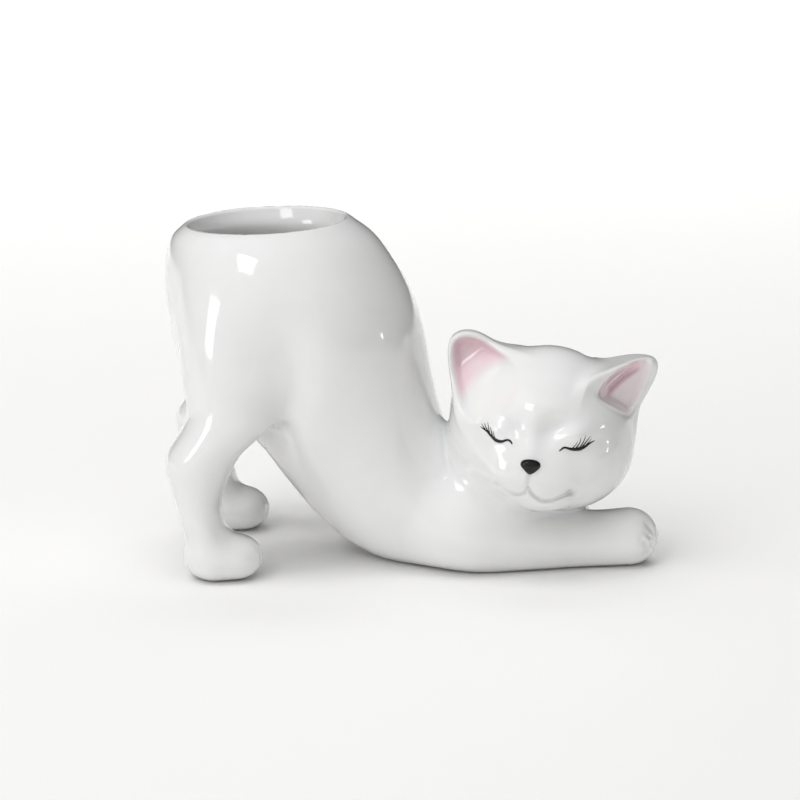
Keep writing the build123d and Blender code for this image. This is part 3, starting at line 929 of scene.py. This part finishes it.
def nose():
    ring = closed_curve(np.array([(520.4, 464.2), (521.6, 461.2), (525.0, 459.6), (530.0, 459.3), (535.6, 460.2),
                                  (539.4, 462.5), (540.6, 465.3), (539.6, 468.3), (536.4, 471.2), (533.0, 473.6),
                                  (530.0, 474.5), (527.2, 473.4), (523.8, 469.9), (521.2, 466.6)]), 6)
    mid = np.array([530.2, 465.8])
    rings = [(1.0, -0.35), (1.0, 0.06), (0.975, 0.24), (0.92, 0.42), (0.84, 0.58), (0.72, 0.74), (0.58, 0.87),
             (0.42, 0.97), (0.26, 1.03), (0.12, 1.06)]
    V, n0 = [], len(ring)
    nr = cast([mid])[1][0]
    for s, h in rings:
        uv = mid + (ring - mid) * s
        P, n = cast(uv)
        # a slight saddle between the two wings at the top of the nose
        x = (uv[:, 0] - mid[0]) / 10.0
        up = np.clip((mid[1] - uv[:, 1]) / 6.0, 0, 1)
        V.append(P + (0.7 * n + 0.3 * nr) * (h * (1 + 0.10 * np.abs(x) * up))[:, None])
    top = cast([mid])[0][0] + nr * 1.07
    bot = cast([mid])[0][0] - nr * 0.6
    V = np.concatenate(V + [top[None], bot[None]])
    F = []
    for k in range(len(rings) - 1):
        for i in range(n0):
            j = (i + 1) % n0
            F.append((k * n0 + i, k * n0 + j, (k + 1) * n0 + j, (k + 1) * n0 + i))
    T, B = len(V) - 2, len(V) - 1
    tri = [((len(rings) - 1) * n0 + i, (len(rings) - 1) * n0 + (i + 1) % n0, T) for i in range(n0)]
    tri += [((i + 1) % n0, i, B) for i in range(n0)]
    return V, F, tri


def mesh_from(name, V, faces, smooth=True):
    bm = bmesh.new()
    vs = [bm.verts.new(tuple(p / 1000.0)) for p in V]
    for f in faces:
        bm.faces.new([vs[i] for i in f])
    bmesh.ops.recalc_face_normals(bm, faces=bm.faces)
    me = bpy.data.meshes.new(name)
    bm.to_mesh(me)
    bm.free()
    me.polygons.foreach_set("use_smooth", np.full(len(me.polygons), smooth))
    ob = bpy.data.objects.new(name, me)
    bpy.context.scene.collection.objects.link(ob)
    return ob


def stroke(uv, widths, V, F, per=8, sides=8, rise=0.55):
    """a tapered brush stroke that lies on the face: half-round on top, sunk below"""
    s = Spline(np.array(uv, float))
    w = Spline(np.array(widths, float)[:, None])
    t = np.linspace(0, len(uv) - 1, (len(uv) - 1) * per + 1)
    pts = np.stack([s(t, 0), s(t, 1)], -1)
    wd = np.maximum(w(t, 0), 0.05)
    P, n = cast(pts)
    tan = np.gradient(P, axis=0)
    tan /= np.linalg.norm(tan, axis=1, keepdims=True)
    side = np.cross(n, tan)
    side /= np.linalg.norm(side, axis=1, keepdims=True)
    o = len(V)
    for i in range(len(P)):
        for k in range(sides):
            a = 2 * math.pi * k / sides
            r = wd[i] / 2
            c, z = math.cos(a), math.sin(a)
            h = rise * r * z + 0.03 if z > 0 else 0.22 * z
            V.append(P[i] + side[i] * c * r + n[i] * h)
    m = len(P)
    for i in range(m - 1):
        for k in range(sides):
            j = (k + 1) % sides
            F.append((o + i * sides + k, o + i * sides + j, o + (i + 1) * sides + j, o + (i + 1) * sides + k))
    F.append(tuple(o + k for k in range(sides)))
    F.append(tuple(o + (m - 1) * sides + k for k in range(sides))[::-1])


Vn, Fn, Tn = nose()
piece["nose"] = mesh_from("nose_enamel", Vn, Fn + Tn)
V, F = [], []
W = 0.49
stroke([(512.2, 444.2), (510.8, 441.7), (508.6, 440.2), (506.0, 440.2), (503.2, 441.2), (499.9, 441.5), (496.5, 440.5),
        (494.0, 438.7), (490.7, 435.4), (487.8, 432.0), (485.6, 430.2), (483.2, 428.6), (480.6, 426.5)],
       np.array([0.7, 1.1, 1.25, 1.3, 1.5, 1.9, 2.2, 2.1, 1.7, 1.3, 1.1, 0.8, 0.35]) * W, V, F)
for a, b, c, w in (((488.8, 432.4), (486.2, 427.8), (484.4, 422.9), 0.95), ((489.6, 433.2), (488.6, 427.6), (487.7, 421.9), 0.8),
                   ((492.4, 435.6), (491.2, 430.8), (490.4, 426.6), 0.8), ((495.0, 438.6), (493.6, 433.8), (493.0, 430.8), 0.6),
                   ((486.2, 430.4), (483.4, 426.6), (481.6, 423.2), 0.7)):
    stroke([a, b, c], np.array([w, 0.72 * w, 0.22 * w]) * W, V, F, per=5)
piece["lash_line_right"] = mesh_from("lash_right_enamel", np.array(V), F)
V, F = [], []
stroke([(559.4, 451.2), (561.8, 448.9), (564.9, 447.6), (568.7, 448.5), (573.7, 449.3), (578.6, 449.0), (582.8, 447.8),
        (586.9, 445.3), (590.2, 442.9), (594.6, 440.7)],
       np.array([0.6, 1.05, 1.3, 1.5, 1.95, 2.2, 1.9, 1.5, 1.05, 0.35]) * W, V, F)
for a, b, c, w in (((575.2, 448.8), (579.4, 443.4), (581.2, 437.0), 0.85), ((579.4, 448.0), (583.4, 441.8), (586.0, 435.2), 0.85),
                   ((581.6, 447.6), (585.6, 442.4), (590.7, 436.2), 0.95), ((571.6, 448.8), (575.4, 445.2), (577.6, 441.4), 0.6),
                   ((585.4, 446.0), (588.2, 442.4), (591.6, 438.8), 0.7)):
    stroke([a, b, c], np.array([w, 0.72 * w, 0.22 * w]) * W, V, F, per=5)
piece["lash_line_left"] = mesh_from("lash_left_enamel", np.array(V), F)
stamp("nose and lashes")


# ------------------------------------------------------------------ materials
def nodes_of(mat):
    mat.use_nodes = True
    nt = mat.node_tree
    nt.nodes.clear()
    out = nt.nodes.new("ShaderNodeOutputMaterial")
    bs = nt.nodes.new("ShaderNodeBsdfPrincipled")
    nt.links.new(bs.outputs[0], out.inputs[0])
    return nt, bs


def glaze_material():
    mat = bpy.data.materials.new("white_glaze")
    nt, bs = nodes_of(mat)
    N, L = nt.nodes.new, nt.links.new
    tc = N("ShaderNodeTexCoord")

    def noise(scale, detail=3.0, rough=0.5, dist=0.0):
        n = N("ShaderNodeTexNoise")
        n.inputs["Scale"].default_value = scale
        n.inputs["Detail"].default_value = detail
        n.inputs["Roughness"].default_value = rough
        n.inputs["Distortion"].default_value = dist
        L(tc.outputs["Object"], n.inputs["Vector"])
        return n

    def attr(name):
        a = N("ShaderNodeAttribute")
        a.attribute_name = name
        return a.outputs["Fac"]

    def ramp(src, stops):
        r = N("ShaderNodeValToRGB")
        L(src, r.inputs[0])
        e = r.color_ramp.elements
        e[0].position, e[0].color = stops[0]
        e[1].position, e[1].color = stops[-1]
        for p, c in stops[1:-1]:
            x = e.new(p)
            x.color = c
        return r.outputs[0]

    def mixc(fac, a, b, blend="MIX"):
        m = N("ShaderNodeMix")
        m.data_type, m.blend_type = "RGBA", blend
        for v, sock in ((fac, m.inputs[0]), (a, m.inputs[6]), (b, m.inputs[7])):
            if isinstance(v, (float, int)):
                sock.default_value = v
            elif isinstance(v, tuple):
                sock.default_value = v
            else:
                L(v, sock)
        return m.outputs[2]

    def math_(op, a, b=None, clamp=False):
        m = N("ShaderNodeMath")
        m.operation, m.use_clamp = op, clamp
        for v, sock in ((a, m.inputs[0]), (b, m.inputs[1])):
            if v is None:
                continue
            if isinstance(v, (float, int)):
                sock.default_value = v
            else:
                L(v, sock)
        return m.outputs[0]

    cloud = noise(42.0, 3.0, 0.55, 0.3)
    white = ramp(cloud.outputs["Fac"], [(0.30, (0.800, 0.800, 0.792, 1)), (0.52, (0.826, 0.825, 0.818, 1)), (0.74, (0.842, 0.838, 0.828, 1))])
    # thicker glaze in the creases is cooler and greyer, and this grey is deepened as painted shade in the creases;
    # thin glaze on the edges lets the warm body through
    pooled_glaze_and_painted_shade = mixc(math_("MULTIPLY", attr("hollow"), 0.85), white, (0.700, 0.712, 0.720, 1))
    thin = mixc(math_("MULTIPLY", attr("edge"), 0.30), pooled_glaze_and_painted_shade, (0.845, 0.822, 0.785, 1))
    # sparse iron specks
    sp = N("ShaderNodeTexVoronoi")
    sp.feature = "F1"
    sp.inputs["Scale"].default_value = 95.0
    L(tc.outputs["Object"], sp.inputs["Vector"])
    spn = noise(230.0, 2.0, 0.5)
    few = math_("MULTIPLY", math_("LESS_THAN", sp.outputs["Distance"], 0.018), math_("GREATER_THAN", spn.outputs["Fac"], 0.60))
    specked = mixc(math_("MULTIPLY", few, 0.22), thin, (0.50, 0.46, 0.40, 1))
    # airbrushed blush inside the ears
    spray = noise(1500.0, 2.0, 0.6)
    soft = noise(120.0, 3.0, 0.5)
    blush = math_("MULTIPLY", attr("blush"), math_("ADD", math_("MULTIPLY", soft.outputs["Fac"], 0.5), 0.75), clamp=True)
    blush = math_("MULTIPLY", blush, math_("ADD", math_("MULTIPLY", spray.outputs["Fac"], 0.24), 0.88), clamp=True)
    blushed = mixc(blush, specked, (0.805, 0.590, 0.632, 1))
    # bare bisque where the foot ring of each sole was wiped
    grain = noise(2600.0, 3.0, 0.6)
    bisque = ramp(grain.outputs["Fac"], [(0.30, (0.60, 0.565, 0.51, 1)), (0.55, (0.70, 0.665, 0.61, 1)), (0.75, (0.76, 0.73, 0.68, 1))])
    bare = attr("bare")
    L(mixc(bare, blushed, bisque), bs.inputs["Base Color"])
    rn = noise(75.0, 3.0, 0.5)
    rough = math_("ADD", math_("MULTIPLY", rn.outputs["Fac"], 0.05), 0.085)
    L(math_("ADD", rough, math_("MULTIPLY", bare, 0.62), clamp=True), bs.inputs["Roughness"])
    L(math_("SUBTRACT", 1.0, bare, clamp=True), bs.inputs["Coat Weight"])
    bs.inputs["Coat Roughness"].default_value = 0.03
    bs.inputs["Coat IOR"].default_value = 1.50
    bs.inputs["IOR"].default_value = 1.52
    # gentle waves of the fired glaze, and orange peel far below it
    wave, peel = noise(85.0, 2.0, 0.45), noise(520.0, 2.0, 0.5)
    h = math_("ADD", math_("MULTIPLY", wave.outputs["Fac"], 0.00030), math_("MULTIPLY", peel.outputs["Fac"], 0.000009))
    h = math_("ADD", h, math_("MULTIPLY", math_("MULTIPLY", grain.outputs["Fac"], bare), 0.00006))
    b = N("ShaderNodeBump")
    b.inputs["Strength"].default_value = 0.30
    b.inputs["Distance"].default_value = 1.0
    L(h, b.inputs["Height"])
    L(b.outputs[0], bs.inputs["Normal"])
    L(b.outputs[0], bs.inputs["Coat Normal"])
    return mat


def enamel_material():
    mat = bpy.data.materials.new("black_enamel")
    nt, bs = nodes_of(mat)
    N, L = nt.nodes.new, nt.links.new
    tc = N("ShaderNodeTexCoord")
    n = N("ShaderNodeTexNoise")
    n.inputs["Scale"].default_value = 900.0
    n.inputs["Detail"].default_value = 3.0
    L(tc.outputs["Object"], n.inputs["Vector"])
    r = N("ShaderNodeValToRGB")
    L(n.outputs["Fac"], r.inputs[0])
    r.color_ramp.elements[0].position, r.color_ramp.elements[0].color = 0.3, (0.003, 0.003, 0.0035, 1)
    r.color_ramp.elements[1].position, r.color_ramp.elements[1].color = 0.75, (0.010, 0.009, 0.009, 1)
    L(r.outputs[0], bs.inputs["Base Color"])
    m = N("ShaderNodeMapRange")
    L(n.outputs["Fac"], m.inputs["Value"])
    m.inputs["To Min"].default_value, m.inputs["To Max"].default_value = 0.12, 0.24
    L(m.outputs[0], bs.inputs["Roughness"])
    bs.inputs["Coat Weight"].default_value = 0.25
    bs.inputs["Coat Roughness"].default_value = 0.04
    bs.inputs["Specular IOR Level"].default_value = 0.28
    b = N("ShaderNodeBump")
    b.inputs["Strength"].default_value = 0.25
    b.inputs["Distance"].default_value = 0.00003
    L(n.outputs["Fac"], b.inputs["Height"])
    L(b.outputs[0], bs.inputs["Normal"])
    return mat


GLAZE, ENAMEL = glaze_material(), enamel_material()
for node, ob in piece.items():
    ob.name = "piece_" + node
for node, ob in piece.items():
    ob.name = node + "_skin"
    ob.data.name = node + "_skin"
    black = node in ("nose", "lash_line_left", "lash_line_right")
    ob.data.materials.clear()
    ob.data.materials.append(ENAMEL if black else GLAZE)
    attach(ob, "root")
    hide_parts(node)


# ------------------------------------------------------------------ floor, light, camera
def floor():
    me = bpy.data.meshes.new("floor")
    bm = bmesh.new()
    vs = [bm.verts.new(p) for p in ((-3, -1.6, 0), (3, -1.6, 0), (3, 3.4, 0), (-3, 3.4, 0))]
    bm.faces.new(vs)
    bm.to_mesh(me)
    bm.free()
    ob = bpy.data.objects.new("floor", me)
    bpy.context.scene.collection.objects.link(ob)
    mat = bpy.data.materials.new("pale_floor")
    nt, bs = nodes_of(mat)
    bs.inputs["Base Color"].default_value = (0.90, 0.895, 0.885, 1)
    bs.inputs["Roughness"].default_value = 0.75
    bs.inputs["Specular IOR Level"].default_value = 0.15
    me.materials.append(mat)
    return ob


floor()


def softbox(name, loc, target, size, power, spread=180, mirrored=True):
    li = bpy.data.lights.new(name, "AREA")
    li.shape = "RECTANGLE"
    li.size, li.size_y = size
    li.energy = power
    li.spread = math.radians(spread)
    ob = bpy.data.objects.new(name, li)
    ob.location = loc
    ob.rotation_euler = (Vector(target) - Vector(loc)).to_track_quat("-Z", "Y").to_euler()
    ob.visible_glossy = mirrored
    bpy.context.scene.collection.objects.link(ob)
    return ob


# two softboxes on the viewer's left, one low at the side and one above the camera's shoulder, inside a
# wide dim one; a soft one high on the left, a small bare lamp low on the right, and strips that light the floor
softbox("side_box", (-1.22, -0.88, 0.36), (-0.01, 0, 0.05), (0.36, 0.42), 1.7)
softbox("front_box", (-0.56, -0.95, 1.02), (0, 0, 0.05), (0.34, 0.50), 1.6)
softbox("front_wide", (-0.60, -1.02, 1.10), (0, 0, 0.05), (1.1, 1.0), 2.8, mirrored=False)
softbox("high_left", (-0.9, -0.3, 1.6), (0, 0, 0), (1.2, 1.2), 7.5, mirrored=False)
softbox("small_lamp", (1.15, -0.25, 0.14), (0, 0, 0.06), (0.05, 0.05), 0.06)
softbox("back_wash", (0, 1.3, 1.5), (0, 1.2, 0), (2.4, 1.4), 11.5, mirrored=False)
softbox("floor_strip_back", (0, 1.05, 1.7), (0, 1.05, 0), (2.2, 0.9), 6.2, 70, mirrored=False)
softbox("floor_strip_front", (0, -0.35, 1.7), (0, -0.35, 0), (2.2, 0.9), 2.9, 70, mirrored=False)

# the room glows softly from behind the camera; its right and far sides stay dim
w = bpy.data.worlds.new("room")
bpy.context.scene.world = w
w.use_nodes = True
wt = w.node_tree
bg = wt.nodes["Background"]
wc = wt.nodes.new("ShaderNodeTexCoord")
dot = wt.nodes.new("ShaderNodeVectorMath")
dot.operation = "DOT_PRODUCT"
dot.inputs[1].default_value = (-0.26, -0.945, 0.2)
wt.links.new(wc.outputs["Generated"], dot.inputs[0])
mr = wt.nodes.new("ShaderNodeMapRange")
mr.interpolation_type = "SMOOTHSTEP"
mr.inputs["From Min"].default_value, mr.inputs["From Max"].default_value = -0.3, 0.95
mr.inputs["To Min"].default_value, mr.inputs["To Max"].default_value = 0.04, 0.55
wt.links.new(dot.outputs["Value"], mr.inputs["Value"])
wt.links.new(mr.outputs[0], bg.inputs[1])
bg.inputs[0].default_value = (0.98, 0.99, 1.0, 1)

cam = bpy.data.cameras.new("camera")
cam.sensor_width = 36.0
cam.lens = LENS / 800.0 * 36.0
cam.clip_start, cam.clip_end = 0.05, 20
co = bpy.data.objects.new("camera", cam)
co.location = tuple(EYE / 1000.0)
co.rotation_euler = (math.radians(75), 0, 0)
bpy.context.scene.collection.objects.link(co)
bpy.context.scene.camera = co

sc = bpy.context.scene
sc.view_settings.view_transform = "Standard"
sc.view_settings.look = "None"

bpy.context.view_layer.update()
stamp("scene made")
